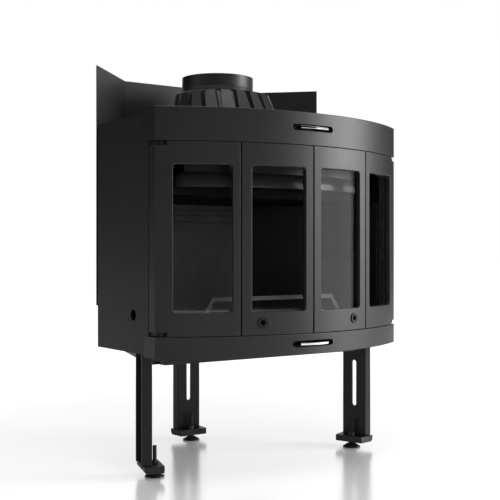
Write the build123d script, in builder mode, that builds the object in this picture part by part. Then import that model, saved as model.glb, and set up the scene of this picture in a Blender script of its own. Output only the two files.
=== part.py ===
"""Fireplace insert with a curved front, two pairs of folding glass doors and a ribbed cast crown.

Frame: millimetres, +Z up, the floor at Z = 0. The front faces -Y. The origin lies on the
floor under the middle of the object. "Depth" means the distance behind the front of the trims.
"""
from build123d import *
import os
from math import acos, asin, atan2, cos, degrees, hypot, radians, sin, sqrt, tan

os.makedirs("parts", exist_ok=True)

# Driving dimensions: casing
half_width = 380.0          # outer face of a side panel from the middle
front_radius = 666.8        # curve of the trims and of the closed doors
body_depth = 609.0          # back of the casing behind the front of the trims
rear_chamfer = 190.7        # the two rear corners are cut off at 45 degrees by this much
body_bottom = 308.0
body_height = 575.0
casing_sheet = 4.0
cover_sheet = 4.0
floor_sheet = 4.0
seam = 0.6                  # open joint between outer sheets
slide_gap = 0.4             # between faces that slide

# Driving dimensions: trims
trim_sheet = 4.0
trim_return = 53.0          # how far a trim runs back along each side
top_trim_rise = 12.5        # above the body's top
top_trim_height = 80.5
bottom_trim_drop = 5.6      # below the body's bottom
bottom_trim_height = 50.6
lever_slot_length = 126.0
lever_slot_height = 14.5
upper_slot_rise = 42.6      # middle of a slot above its trim's lower edge
lower_slot_rise = 26.1
trim_edge_round = 1.2

# Driving dimensions: doors
leaf_thickness = 22.5
leaf_play = 1.5             # between a leaf and the trims
leaf_gap = 3.0
meeting_stile = 24.5        # widths beside the windows, along the curve
inner_fold_stile = 28.3
outer_fold_stile = 20.7
hinge_stile = 42.4
bottom_rail = 55.0
top_rail = 53.5
window_corner = 8.0
window_reveal = 11.0
glass_thickness = 4.0
glass_lap = 7.0             # glass behind the frame, all round
glass_bed = 0.2             # soft bed in front of and behind a pane
rebate_lap = 8.0
retainer_thickness = 3.0
retainer_set_back = 3.0     # retainer's opening wider than the window, all round
leaf_edge_round = 1.6
window_edge_round = 2.2
notch_length = 24.0         # corner notch of an outer leaf, for the hinge arm
notch_height = 10.0

# Driving dimensions: hinges, guides and locks
hinge_inset = 19.0          # vertical pin of an outer leaf, inboard of the side panel's face
hinge_set_back = 2.1        # and behind the front corner of the leaf
hinge_pin_radius = 4.0
hinge_eye_radius = 8.0
hinge_arm_thickness = 8.0
hinge_pin_length = 26.0
arm_play = 1.0              # hinge arm to the notch, above and below
fold_offset = 5.7           # fold pin behind the back of the leaves
fold_pin_radius = 2.5
fold_barrel_radius = 5.5
fold_barrel_length = 10.0
fold_middle_length = 19.0
fold_pad_thickness = 4.6
fold_pad_length = 16.0
fold_hinge_inset = 7.5      # outermost barrel from the leaf's top or bottom
guide_offset = 5.5          # guide pin behind the back of the leaves
guide_x = 5.6777            # and beside the middle, with the doors closed
guide_pin_radius = 3.0
guide_lug_radius = 4.8
guide_lug_height = 13.0
guide_clearance = 0.6
door_swing = 80.0           # how far an outer leaf turns, in degrees
pin_fit = 0.05              # radial clearance of a pin that turns
lock_arc = 144.5
lock_rise = 29.5            # lock above the leaf's lower edge
lock_boss_radius = 12.6
lock_boss_stand = 2.2
lock_spindle_radius = 8.0
lock_socket = 7.0
lock_socket_depth = 14.0
lock_tongue_length = 36.0
lock_tongue_width = 12.0
lock_tongue_thickness = 3.7
lock_tongue_offset = 6.0    # tongue behind the back of the leaf
lock_slot_gap = 1.0
lock_slot_reach = 26.0      # slot in the sill, from the lock's axis towards the middle

# Driving dimensions: plates behind the doors
sill_gap = 2.5              # between a leaf and the sill plate
head_gap = 3.5
guide_plate = 5.0
post_size = 20.0
post_round = 1.5
post_gap = 3.2              # between a post and the path of a leaf's rear corner

# Driving dimensions: firebox
hearth_rise = 22.0          # hearth above the sill
hearth_plate_thickness = 8.0
hearth_wall = 6.0
hearth_gap = 2.2            # between the hearth and the path of a leaf's rear corner
burn_height = 316.0
burn_thickness = 10.0
burn_gap = 20.0
burn_joint_rise = 244.0     # joint between the two rear plates, above the hearth
rear_burn_gap = 23.0
baffle_thickness = 28.0
baffle_set_back = 13.0      # behind the hearth's front
baffle_round = 6.0
air_hole_radius = 2.3
air_hole_pitch = 12.4
air_hole_margin = 16.0      # at least this much plate beside a row of holes
air_hole_drops = (51.0, 30.5, 15.6)
hood_front_gap = 29.5       # hood behind the leaves, clear of the guide pin edges as they fold
hood_projection = 26.0
hood_drop = 50.0            # bottom of the hood below the top of the windows
hood_height = 38.0
hood_web = 4.0
hood_end_inset = 98.0
guard_set_back = 10.0       # behind the hearth's front
guard_rise = 60.0
guard_bar = 10.5
guard_thickness = 8.0
guard_half_span = 190.0
guard_splay = 39.0          # how far a foot stands outside the bar's end

# Driving dimensions: air controls
lever_reach = 12.0
lever_width = 86.0
lever_thickness = 6.0
lever_edge_radius = 140.0
lever_stem_width = 26.0
lever_body = 26.0           # depth of the lever's wide part, from its tip
lever_edge_round = 1.4
lever_travel = 18.0         # each way
channel_depth = 40.0        # front wall of an air channel
channel_width = 264.0
channel_run = 26.0
channel_sheet = 2.0
channel_lip = 6.0
shutter_thickness = 2.0
shutter_width = 216.0
port_width = 30.0
port_pitch = 108.0

# Driving dimensions: crown and flue
flue_inset = 175.5          # flue's axis ahead of the casing's back
flue_radius = 99.8
flue_foot_radius = 102.0
flue_wall = 5.0
flue_height = 41.5
flue_flare = 10.0
flue_skirt = 30.0
flue_skirt_wall = 1.4
flue_fit = 0.3
crown_teeth = 20
crown_phase = 11.0
crown_height = 115.0
crown_base_radius = 158.2
crown_base_offset = 49.9    # base's middle ahead of the flue's axis
crown_shoulder_rise = 103.4
crown_shoulder_radius = 131.5
crown_shoulder_offset = 22.0
crown_valley = 20.0
crown_tooth_base = 43.0
crown_tooth_top = 23.0
crown_tooth_root = 30.0
crown_bore_radius = 118.0
crown_bore_offset = 33.5
crown_neck = 38.0           # straight part of the bore, for the collar's skirt
crown_flange = 6.0
crown_flange_thickness = 5.0

# Driving dimensions: heat shields
shield_gap = 11.5
shield_sheet = 2.0
shield_rise = 105.0         # lower edge above the body's bottom
shield_split_drop = 23.0    # joint between the shields, below the body's top
deflector_rise = 158.7      # above the body's top
shield_wing = 27.0          # how far a wing stops short of the casing's side corner, along Y
spacer_radius = 5.0
spacer_inset = 36.0         # rear spacers from the casing's bends
spacer_edge = 17.0          # spacers from the shields' lower edge and joint

# Driving dimensions: legs and feet
leg_web = 75.8
leg_flange = 26.5
leg_sheet = 5.0
leg_bend = 3.0
leg_offset = 13.4           # inner face of the web outboard of the stud
leg_slot_width = 14.0
leg_slot_length = 130.0
leg_slot_drop = 63.0        # top of a slot below the body
side_leg_inset = 60.8       # side stud inboard of the side panel's face
side_leg_depth = 227.7
side_leg_turn = 17.5        # a side leg's outward direction, turned back from the X axis
rear_leg_inset = 33.4       # rear stud ahead of the casing's back
foot_bottom = 16.0
foot_height = 17.0
foot_inboard = 16.0
foot_outboard = 35.0
foot_inner_width = 84.6
foot_outer_width = 96.0
foot_round = 10.0
stud_radius = 5.0
stud_above_foot = 44.0
disc_radius = 24.5
disc_edge = 3.0
disc_hub_radius = 9.5
disc_hub_height = 12.0

# Driving dimensions: base pan, side holes and bolts
pan_depth = 33.0
pan_front_gap = 27.7        # pan's front ahead of the side studs
pan_sheet = 3.0
pan_corner_inset = 36.0     # the front wall's lower corners are cut away from here outwards
pan_corner_run = 12.0
pan_corner_rise = 10.0
pan_corner_depth = 30.0
air_inlet_radius = 50.0
air_inlet_inset = 179.0     # ahead of the casing's back
side_hole_radius = 13.75
side_hole_depth = 225.4
side_hole_rise = 91.7
bolt_radius = 4.0
bolt_fit = 0.2
bolt_head_radius = 7.0
bolt_head_height = 5.0
bolt_nut_height = 3.0
bolt_low = 11.0             # above the pan's bottom
bolt_high = 9.0             # below the body

# Heights worked out from the dimensions
body_top = body_bottom + body_height
top_trim_top = body_top + top_trim_rise
top_trim_bottom = top_trim_top - top_trim_height
bottom_trim_bottom = body_bottom - bottom_trim_drop
bottom_trim_top = bottom_trim_bottom + bottom_trim_height
upper_slot_height = top_trim_bottom + upper_slot_rise
lower_slot_height = bottom_trim_bottom + lower_slot_rise
leaf_bottom = bottom_trim_top + leaf_play
leaf_top = top_trim_bottom - leaf_play
window_bottom = leaf_bottom + bottom_rail
window_top = leaf_top - top_rail
lock_height = leaf_bottom + lock_rise
sill_top = leaf_bottom - sill_gap
head_bottom = leaf_top + head_gap
hearth_top = sill_top + hearth_rise
burn_top = hearth_top + burn_height
hood_bottom = window_top - hood_drop
guard_height = hearth_top + guard_rise
crown_top_z = body_top + crown_height
crown_shoulder_z = body_top + crown_shoulder_rise
crown_neck_bottom = crown_top_z - crown_neck
flue_top = crown_top_z + flue_height
flue_flare_top = crown_top_z + flue_flare
shield_bottom = body_bottom + shield_rise
shield_split = body_top - shield_split_drop
deflector_top = body_top + deflector_rise
foot_top = foot_bottom + foot_height
stud_top = foot_top + stud_above_foot
leg_slot_top = body_bottom - leg_slot_drop
pan_bottom = body_bottom - pan_depth
side_hole_height = body_bottom + side_hole_rise

# Places in plan worked out from the dimensions
overall_rear = body_depth + shield_gap + shield_sheet
front_y = (lever_reach - overall_rear) / 2
curve_y = front_y + front_radius
side_leg_x = half_width - side_leg_inset
rear_leg_depth = body_depth - rear_leg_inset
pan_front_depth = side_leg_depth - pan_front_gap
air_inlet_depth = body_depth - air_inlet_inset
flue_depth = body_depth - flue_inset
crown_base_depth = flue_depth - crown_base_offset
crown_shoulder_depth = flue_depth - crown_shoulder_offset
crown_bore_depth = flue_depth - crown_bore_offset


def at(depth):
    """Y of a place given by its depth behind the front of the trims."""
    return front_y + depth


def arc_depth(radius, x):
    """Depth at which a circle about the front's centre crosses x."""
    return front_radius - sqrt(radius ** 2 - x ** 2)


def on_curve(radius, angle):
    """Plan point on a circle about the front's centre; the angle in degrees from the middle."""
    return (radius * sin(radians(angle)), curve_y - radius * cos(radians(angle)))


def angle_of(arc):
    """Degrees from the middle, from a length along the front's curve."""
    return degrees(arc / front_radius)


corner_depth = arc_depth(front_radius, half_width)
side_depth = body_depth - rear_chamfer
back_of_leaf = front_radius - leaf_thickness
fold_radius = back_of_leaf - fold_offset
hinge_x = half_width - hinge_inset
hinge_depth = corner_depth + hinge_set_back
hinge_y = at(hinge_depth)
guide_y = at(leaf_thickness + guide_offset)
guide_span = hypot(hinge_x - guide_x, hinge_y - guide_y)
# The fold pin is as far from the hinge pin as from the guide pin, so the pair runs in a straight slot
hinge_reach = hypot(hinge_x, curve_y - hinge_y)
guide_reach = hypot(guide_x, curve_y - guide_y)
span_turn = atan2(guide_y - hinge_y, guide_x - hinge_x)
span_shift = (guide_reach ** 2 - hinge_reach ** 2) / 2 / guide_span
fold_angle = 180 + degrees(span_turn - asin(span_shift / fold_radius))
fold_x, fold_y = on_curve(fold_radius, fold_angle)
fold_arc = radians(fold_angle) * front_radius
door_arm = hypot(hinge_x - fold_x, hinge_y - fold_y)
arm_angle = degrees(acos(guide_span / 2 / door_arm))
guide_near = 2 * door_arm * cos(radians(arm_angle + door_swing))
casing_slant = half_width + at(side_depth)
notch_x = half_width - notch_length
leaf_corner_depth = arc_depth(back_of_leaf, half_width)
leaf_sweep = hypot(hinge_inset, leaf_corner_depth - hinge_depth)
door_side_depth = leaf_corner_depth + leaf_gap + slide_gap
half_gap = degrees(leaf_gap / 2 / front_radius)
leaf_end_arc = asin(half_width / front_radius) * front_radius
inner_window = (meeting_stile, fold_arc - inner_fold_stile)
outer_window = (fold_arc + outer_fold_stile, leaf_end_arc - hinge_stile)
hearth_front_depth = hinge_depth + leaf_sweep + hearth_gap
post_depth = hinge_depth + leaf_sweep + post_gap
guard_depth = hearth_front_depth + guard_set_back
baffle_front_depth = hearth_front_depth + baffle_set_back

print("hinge", hinge_x, hinge_y, "fold", fold_x, fold_y, "guide", guide_x, guide_y, "front", front_y)
print("arm", door_arm, "arm angle", arm_angle, "guide travel", guide_span - guide_near)


def finish(part, name):
    """Names a finished piece and writes it."""
    part.label = name
    export_step(part, f"parts/{name}.step")


def curved_band(outer_radius, inner_radius, start, end, end_x=None):
    """Plan outline between two circles, from one angle to another or to a straight end at x."""
    near = (on_curve(outer_radius, start), on_curve(inner_radius, start))
    if end_x is None:
        far = (on_curve(outer_radius, end), on_curve(inner_radius, end))
    else:
        far = tuple((end_x, at(arc_depth(radius, end_x))) for radius in (outer_radius, inner_radius))
    outer_end = degrees(asin(far[0][0] / outer_radius))
    inner_end = degrees(asin(far[1][0] / inner_radius))
    with BuildSketch() as band:
        with BuildLine():
            ThreePointArc(near[0], on_curve(outer_radius, (start + outer_end) / 2), far[0])
            Line(far[0], far[1])
            ThreePointArc(far[1], on_curve(inner_radius, (start + inner_end) / 2), near[1])
            Line(near[1], near[0])
        make_face()
    return band.sketch


def slant_points(side_x, rear_y, slant):
    """The two ends of a 45 degree rear corner, on the right."""
    return (side_x, slant - side_x), (slant - rear_y, rear_y)


def body_outline(inset, front_gap):
    """Plan outline of a plate inside the casing, with a curved front and cut rear corners."""
    side_x = half_width - inset
    front = front_radius - front_gap
    rear_y = at(body_depth) - inset
    slant = casing_slant - inset * sqrt(2)
    side_end, rear_end = slant_points(side_x, rear_y, slant)
    front_end = (side_x, at(arc_depth(front, side_x)))
    with BuildSketch() as outline:
        with BuildLine():
            ThreePointArc((-front_end[0], front_end[1]), (0, at(front_gap)), front_end)
            Polyline(
                front_end,
                side_end,
                rear_end,
                (-rear_end[0], rear_end[1]),
                (-side_end[0], side_end[1]),
                (-front_end[0], front_end[1]),
            )
        make_face()
    return outline.sketch


def mirrored(part):
    """The left piece of a pair, from the right one."""
    return mirror(part, about=Plane.YZ, mode=Mode.PRIVATE)


# Side panels: flat sheets that reach forward between the trims, up to the doors
with BuildPart() as side_panel_right:
    trim_end = at(corner_depth + trim_return + seam)
    door_end = at(door_side_depth)
    panel_points = [
        (trim_end, body_bottom),
        (at(side_depth) - seam, body_bottom),
        (at(side_depth) - seam, body_top),
        (trim_end, body_top),
        (trim_end, top_trim_bottom - seam),
        (door_end, top_trim_bottom - seam),
        (door_end, bottom_trim_top + seam),
        (trim_end, bottom_trim_top + seam),
    ]
    with BuildSketch(Plane.YZ.offset(half_width - casing_sheet)):
        with BuildLine():
            Polyline(*panel_points, close=True)
        make_face()
        with Locations((at(side_hole_depth), side_hole_height)):
            Circle(side_hole_radius, mode=Mode.SUBTRACT)
    extrude(amount=casing_sheet)
finish(side_panel_right.part, "side_panel_right")

with BuildPart() as side_panel_left:
    add(mirrored(side_panel_right.part))
finish(side_panel_left.part, "side_panel_left")


def bent_back(inner_inset, thickness, side_limit):
    """Plan outline of the casing's back or of a shield; a negative inset lies outside."""
    faces = []
    for inset in (inner_inset, inner_inset - thickness):
        rear_y = at(body_depth) - inset
        slant = casing_slant - inset * sqrt(2)
        rear_x = slant - rear_y
        faces.append((rear_x, rear_y, slant))
    (in_x, in_y, in_slant), (out_x, out_y, _) = faces
    in_end = ((in_slant - side_limit) - thickness / sqrt(2) / 2, side_limit + thickness / sqrt(2) / 2)
    out_end = (in_end[0] + thickness / sqrt(2), in_end[1] + thickness / sqrt(2))
    right = [in_end, (in_x, in_y), (out_x, out_y), out_end]
    outline = [
        right[0],
        right[1],
        (-in_x, in_y),
        (-in_end[0], in_end[1]),
        (-out_end[0], out_end[1]),
        (-out_x, out_y),
        right[2],
        right[3],
    ]
    with BuildSketch() as bent:
        with BuildLine():
            Polyline(*outline, close=True)
        make_face()
    return bent.sketch


# Back of the casing: one sheet with two bends
with BuildPart() as rear_casing:
    with BuildSketch(Plane.XY.offset(body_bottom)):
        add(bent_back(casing_sheet, casing_sheet, at(side_depth)))
    extrude(amount=body_top - body_bottom)
finish(rear_casing.part, "rear_casing")

# Top cover with the opening under the crown
with BuildPart() as top_cover:
    with BuildSketch(Plane.XY.offset(body_top - cover_sheet)):
        add(body_outline(casing_sheet, trim_sheet))
        with Locations((0, at(crown_bore_depth))):
            Circle(crown_bore_radius, mode=Mode.SUBTRACT)
    extrude(amount=cover_sheet)
finish(top_cover.part, "top_cover")

# Floor plate, with the hole through which the air box feeds the hearth
with BuildPart() as floor_plate:
    with BuildSketch(Plane.XY.offset(body_bottom)):
        add(body_outline(casing_sheet, trim_sheet))
        with Locations((0, at(air_inlet_depth))):
            Circle(air_inlet_radius, mode=Mode.SUBTRACT)
    extrude(amount=floor_sheet)
finish(floor_plate.part, "floor_plate")


# Legs stand on the levelling studs; each has its own plane, with x pointing away from the stove
leg_places = {
    "right": ((side_leg_x, at(side_leg_depth)), side_leg_turn),
    "left": ((-side_leg_x, at(side_leg_depth)), 180 - side_leg_turn),
    "rear": ((0, at(rear_leg_depth)), 90),
}


def leg_plane(place, height):
    """Level plane at a stud's axis, with its x axis turned outward."""
    (x, y), turn = leg_places[place]
    outward = (cos(radians(turn)), sin(radians(turn)), 0)
    return Plane(origin=(x, y, height), x_dir=outward, z_dir=(0, 0, 1))


def wall_plane(place, distance, height):
    """Upright plane square to a leg's outward direction, at a distance from its stud."""
    (x, y), turn = leg_places[place]
    outward = (cos(radians(turn)), sin(radians(turn)))
    along = (-outward[1], outward[0], 0)
    origin = (x + distance * outward[0], y + distance * outward[1], height)
    return Plane(origin=origin, x_dir=along, z_dir=(outward[0], outward[1], 0))


bolt_heights = (pan_bottom + bolt_low, body_bottom - bolt_high)
bolt_spots = [(side * leg_web / 4, height) for side in (-1, 1) for height in bolt_heights]
bolt_hole = bolt_radius + bolt_fit

# Base pan: a bottom plate with the air inlet, and a bent strip on it whose walls carry the legs
wall_x = side_leg_x + leg_offset * cos(radians(side_leg_turn))
wall_y = at(side_leg_depth) + leg_offset * sin(radians(side_leg_turn))
pan_front_y = at(pan_front_depth)


def pan_outline(inset):
    """Plan outline of the pan's outer faces, or of faces inside them by an inset."""
    taper = tan(radians(side_leg_turn))
    side_x = wall_x - inset / cos(radians(side_leg_turn))
    front = pan_front_y + inset
    rear = at(rear_leg_depth) + leg_offset - inset
    right = [(side_x + (wall_y - y) * taper, y) for y in (front, rear)]
    with BuildSketch() as outline:
        with BuildLine():
            Polyline(*right, *[(-x, y) for x, y in reversed(right)], close=True)
        make_face()
        add(body_outline(casing_sheet + seam + inset, trim_sheet), mode=Mode.INTERSECT)
    return outline.sketch


def pan_layer(bottom, top):
    """The pan's outline between two heights, without the front's lower corners."""
    with BuildPart() as layer:
        with BuildSketch(Plane.XY.offset(bottom)):
            add(pan_outline(0))
        extrude(amount=top - bottom)
        for side in (-1, 1):
            corner_x = wall_x + (wall_y - pan_front_y) * tan(radians(side_leg_turn)) - pan_corner_inset
            corner_points = [
                (side * corner_x, pan_bottom),
                (side * (corner_x + pan_corner_run), pan_bottom + pan_corner_rise),
                (side * half_width, pan_bottom + pan_corner_rise),
                (side * half_width, pan_bottom),
            ]
            with BuildSketch(Plane.XZ.offset(-pan_front_y)):
                with BuildLine():
                    Polyline(*corner_points, close=True)
                make_face()
            extrude(amount=-pan_corner_depth, mode=Mode.SUBTRACT)
    return layer.part


with BuildPart() as base_pan:
    add(pan_layer(pan_bottom, pan_bottom + pan_sheet))
    with BuildSketch(Plane.XY.offset(pan_bottom)):
        with Locations((0, at(air_inlet_depth))):
            Circle(air_inlet_radius)
    extrude(amount=pan_sheet, mode=Mode.SUBTRACT)
finish(base_pan.part, "base_pan")

with BuildPart() as pan_walls:
    add(pan_layer(pan_bottom + pan_sheet, body_bottom))
    with BuildSketch(Plane.XY.offset(pan_bottom)):
        add(pan_outline(pan_sheet))
    extrude(amount=pan_depth, mode=Mode.SUBTRACT)
    for place in leg_places:
        with BuildSketch(wall_plane(place, leg_offset + 1, 0)):
            with Locations(*bolt_spots):
                Circle(bolt_hole)
        extrude(amount=-pan_sheet - 2, mode=Mode.SUBTRACT)
finish(pan_walls.part, "pan_walls")

# Legs: channels that open outward, with one long slot each
for place in leg_places:
    with BuildPart() as leg:
        with BuildSketch(leg_plane(place, foot_top)) as leg_section:
            with Locations((leg_offset + leg_flange / 2, 0)):
                Rectangle(leg_flange, leg_web)
            fillet(leg_section.vertices().group_by(SortBy.DISTANCE)[0], leg_bend)
            with Locations((leg_offset + leg_sheet + leg_flange / 2, 0)):
                Rectangle(leg_flange, leg_web - 2 * leg_sheet, mode=Mode.SUBTRACT)
        extrude(amount=body_bottom - foot_top)
        with BuildSketch(wall_plane(place, leg_offset, 0)):
            with Locations((0, leg_slot_top - leg_slot_length / 2)):
                SlotOverall(leg_slot_length, leg_slot_width, rotation=90)
            with Locations(*bolt_spots):
                Circle(bolt_hole)
        extrude(amount=leg_sheet + 1, mode=Mode.SUBTRACT)
    finish(leg.part, f"leg_{place}")

# Leg bolts: heads in the channels, shanks through the webs and the pan's walls
with BuildPart() as leg_bolts:
    for place in leg_places:
        with BuildSketch(wall_plane(place, leg_offset + leg_sheet, 0)):
            with Locations(*bolt_spots):
                RegularPolygon(bolt_head_radius, 6)
        extrude(amount=bolt_head_height)
        with BuildSketch(wall_plane(place, leg_offset + leg_sheet, 0)):
            with Locations(*bolt_spots):
                Circle(bolt_radius)
        extrude(amount=-leg_sheet - pan_sheet - bolt_nut_height - 1)
        with BuildSketch(wall_plane(place, leg_offset - pan_sheet, 0)):
            with Locations(*bolt_spots):
                RegularPolygon(bolt_head_radius, 6)
        extrude(amount=-bolt_nut_height)
finish(leg_bolts.part, "leg_bolts")

# Foot brackets: cast wedges under the legs, threaded for the levelling studs
with BuildPart() as foot_brackets:
    for place in leg_places:
        with BuildSketch(leg_plane(place, foot_bottom)):
            with BuildLine():
                Polyline(
                    (-foot_inboard, -foot_inner_width / 2),
                    (foot_outboard, -foot_outer_width / 2),
                    (foot_outboard, foot_outer_width / 2),
                    (-foot_inboard, foot_inner_width / 2),
                    close=True,
                )
            make_face()
            Circle(stud_radius + pin_fit, mode=Mode.SUBTRACT)
        extrude(amount=foot_top - foot_bottom)
    lower_edges = foot_brackets.edges().filter_by(
        lambda edge: edge.center().Z < foot_bottom + 0.01 and abs(edge.length - foot_outer_width) < 0.1
    )
    fillet(lower_edges, foot_round)
finish(foot_brackets.part, "foot_brackets")

# Levelling feet: a disc, its hub and the threaded stud in one piece
for place in leg_places:
    with BuildPart() as levelling_foot:
        (x, y), turn = leg_places[place]
        with BuildSketch(Plane(origin=(x, y, 0), x_dir=(1, 0, 0), z_dir=(0, -1, 0))):
            with BuildLine():
                Polyline(
                    (0, 0),
                    (disc_radius - 1, 0),
                    (disc_radius, 1),
                    (disc_radius, disc_edge),
                    (disc_hub_radius, disc_hub_height),
                    (stud_radius, disc_hub_height),
                    (stud_radius, stud_top - 1),
                    (stud_radius - 1, stud_top),
                    (0, stud_top),
                    close=True,
                )
            make_face()
        revolve(axis=Axis((x, y, 0), (0, 0, 1)))
    finish(levelling_foot.part, f"levelling_foot_{place}")


def trim_band(bottom, top):
    """One curved trim with its side returns and its lever slot."""
    slot_height = upper_slot_height if bottom > body_bottom + 100 else lower_slot_height
    side_x = half_width
    end_y = at(corner_depth + trim_return)
    inner_radius = front_radius - trim_sheet
    inner_x = side_x - trim_sheet
    inner_y = at(arc_depth(inner_radius, inner_x))
    with BuildPart() as trim:
        with BuildSketch(Plane.XY.offset(bottom)):
            with BuildLine():
                ThreePointArc((-side_x, at(corner_depth)), (0, at(0)), (side_x, at(corner_depth)))
                Polyline(
                    (side_x, at(corner_depth)),
                    (side_x, end_y),
                    (inner_x, end_y),
                    (inner_x, inner_y),
                )
                ThreePointArc((inner_x, inner_y), (0, at(trim_sheet)), (-inner_x, inner_y))
                Polyline(
                    (-inner_x, inner_y),
                    (-inner_x, end_y),
                    (-side_x, end_y),
                    (-side_x, at(corner_depth)),
                )
            make_face()
        extrude(amount=top - bottom)
        front = trim.faces().filter_by(GeomType.CYLINDER).sort_by(Axis.Y)[0]
        rims = front.edges().filter_by(GeomType.CIRCLE)
        fillet(rims, trim_edge_round)
        with BuildSketch(Plane.XZ.offset(-at(0) + 1)):
            with Locations((0, slot_height)):
                SlotOverall(lever_slot_length, lever_slot_height)
        extrude(amount=-trim_sheet - 10, mode=Mode.SUBTRACT)
        front = trim.faces().filter_by(GeomType.CYLINDER).sort_by(SortBy.AREA)[-2:].sort_by(Axis.Y)[0]
        lips = front.edges().filter_by(
            lambda edge: abs(edge.center().X) <= lever_slot_length / 2
            and abs(edge.center().Z - slot_height) <= lever_slot_height / 2 + 0.1
        )
        fillet(lips, trim_edge_round)
    return trim.part


# Trims: bent bands above and below the doors
with BuildPart() as top_trim:
    add(trim_band(top_trim_bottom, top_trim_top))
finish(top_trim.part, "top_trim")

with BuildPart() as bottom_trim:
    add(trim_band(bottom_trim_bottom, bottom_trim_top))
finish(bottom_trim.part, "bottom_trim")


lock_angle = angle_of(lock_arc)
tongue_front = back_of_leaf - lock_tongue_offset
tongue_back = tongue_front - lock_tongue_thickness


def guide_slots():
    """Plan outline of the two slots for the guide pins, along the lines to the hinge pins."""
    share = (guide_span + guide_near) / 2 / guide_span
    middle = (hinge_x + (guide_x - hinge_x) * share, hinge_y + (guide_y - hinge_y) * share)
    with BuildSketch() as slots:
        SlotCenterPoint(middle, (guide_x, guide_y), 2 * (guide_pin_radius + guide_clearance))
        mirror(about=Plane.YZ)
    return slots.sketch


def plate_outline(rear_depth):
    """Plan outline of the sill or head plate, from the trims back to a straight edge."""
    side_x = half_width - casing_sheet
    front = front_radius - trim_sheet
    end = (side_x, at(arc_depth(front, side_x)))
    with BuildSketch() as outline:
        with BuildLine():
            ThreePointArc((-end[0], end[1]), (0, at(trim_sheet)), end)
            Polyline(end, (side_x, at(rear_depth)), (-side_x, at(rear_depth)), (-end[0], end[1]))
        make_face()
    return outline.sketch


# Sill plate under the doors, with the guide slots and the slots that the lock tongues drop into
with BuildPart() as sill_plate:
    with BuildSketch(Plane.XY.offset(sill_top - guide_plate)):
        add(plate_outline(hearth_front_depth))
        add(guide_slots(), mode=Mode.SUBTRACT)
        for side in (-1, 1):
            tongue_slot = curved_band(
                tongue_front + lock_slot_gap,
                tongue_back - lock_slot_gap,
                angle_of(lock_arc - lock_slot_reach),
                angle_of(lock_arc + lock_tongue_width / 2 + lock_slot_gap),
            )
            add(tongue_slot if side > 0 else mirrored(tongue_slot), mode=Mode.SUBTRACT)
    extrude(amount=guide_plate)
finish(sill_plate.part, "sill_plate")

# Head plate over the doors
with BuildPart() as head_plate:
    with BuildSketch(Plane.XY.offset(head_bottom)):
        add(plate_outline(hearth_front_depth))
        add(guide_slots(), mode=Mode.SUBTRACT)
    extrude(amount=guide_plate)
finish(head_plate.part, "head_plate")

# Door posts: square bars from the sill to the head, behind the outer edges of the doors
with BuildPart() as door_posts:
    post_x = half_width - casing_sheet - post_size / 2
    post_y = at(post_depth + post_size / 2)
    with BuildSketch(Plane.XY.offset(body_bottom + floor_sheet)):
        with Locations((post_x, post_y), (-post_x, post_y)):
            RectangleRounded(post_size, post_size, post_round)
    extrude(amount=body_top - cover_sheet - body_bottom - floor_sheet)
finish(door_posts.part, "door_posts")

# Hinge arms: they reach from the posts into the corner notches and hold the door pins
arm_bottoms = (leaf_bottom + arm_play, leaf_top - arm_play - hinge_arm_thickness)
with BuildPart() as hinge_brackets:
    for height in arm_bottoms:
        with BuildSketch(Plane.XY.offset(height)):
            for side in (-1, 1):
                x_near = side * (hinge_x - hinge_eye_radius / 2)
                x_far = side * (half_width - casing_sheet)
                back = post_y - post_size / 2
                with BuildLine():
                    Polyline(
                        (x_near, hinge_y),
                        (x_near, back),
                        (x_far, back),
                        (x_far, hinge_y),
                        close=True,
                    )
                make_face()
                with Locations((side * hinge_x, hinge_y)):
                    Circle(hinge_eye_radius)
            with Locations((hinge_x, hinge_y), (-hinge_x, hinge_y)):
                Circle(hinge_pin_radius, mode=Mode.SUBTRACT)
        extrude(amount=hinge_arm_thickness)
finish(hinge_brackets.part, "hinge_brackets")

# Hinge pins: driven into the arms, turning in the doors
with BuildPart() as hinge_pins:
    for height, way in zip(arm_bottoms, (1, -1)):
        start = height if way > 0 else height + hinge_arm_thickness
        with BuildSketch(Plane.XY.offset(start)):
            with Locations((hinge_x, hinge_y), (-hinge_x, hinge_y)):
                Circle(hinge_pin_radius)
        extrude(amount=way * (hinge_arm_thickness + hinge_pin_length))
finish(hinge_pins.part, "hinge_pins")

# Door leaves. The right pair is modelled; the left pair is its mirror image.
leaf_height = leaf_top - leaf_bottom
window_height = window_top - window_bottom
pin_hole = hinge_pin_radius + pin_fit


def window_plane(window):
    """Upright plane on the front's curve, at the middle of a window and facing outward."""
    angle = angle_of(sum(window) / 2)
    x, y = on_curve(front_radius, angle)
    outward = (sin(radians(angle)), -cos(radians(angle)), 0)
    return Plane(
        origin=(x, y, (window_bottom + window_top) / 2),
        x_dir=(cos(radians(angle)), sin(radians(angle)), 0),
        z_dir=outward,
    )


def window_width(window):
    """Straight width of a window given by its two places along the curve."""
    return 2 * front_radius * sin(radians(angle_of(window[1] - window[0]) / 2))


def leaf_layer(outer_radius, inner_radius, outer_leaf, window, margin):
    """One layer of a door frame: a curved slab with a rounded window."""
    start = fold_angle + half_gap if outer_leaf else half_gap
    end = 0 if outer_leaf else fold_angle - half_gap
    with BuildPart() as layer:
        with BuildSketch(Plane.XY.offset(leaf_bottom)):
            add(curved_band(outer_radius, inner_radius, start, end, half_width if outer_leaf else None))
        extrude(amount=leaf_height)
        with BuildSketch(window_plane(window)):
            RectangleRounded(
                window_width(window) + 2 * margin,
                window_height + 2 * margin,
                window_corner,
            )
        extrude(amount=-2 * leaf_thickness, both=True, mode=Mode.SUBTRACT)
    return layer.part


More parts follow.
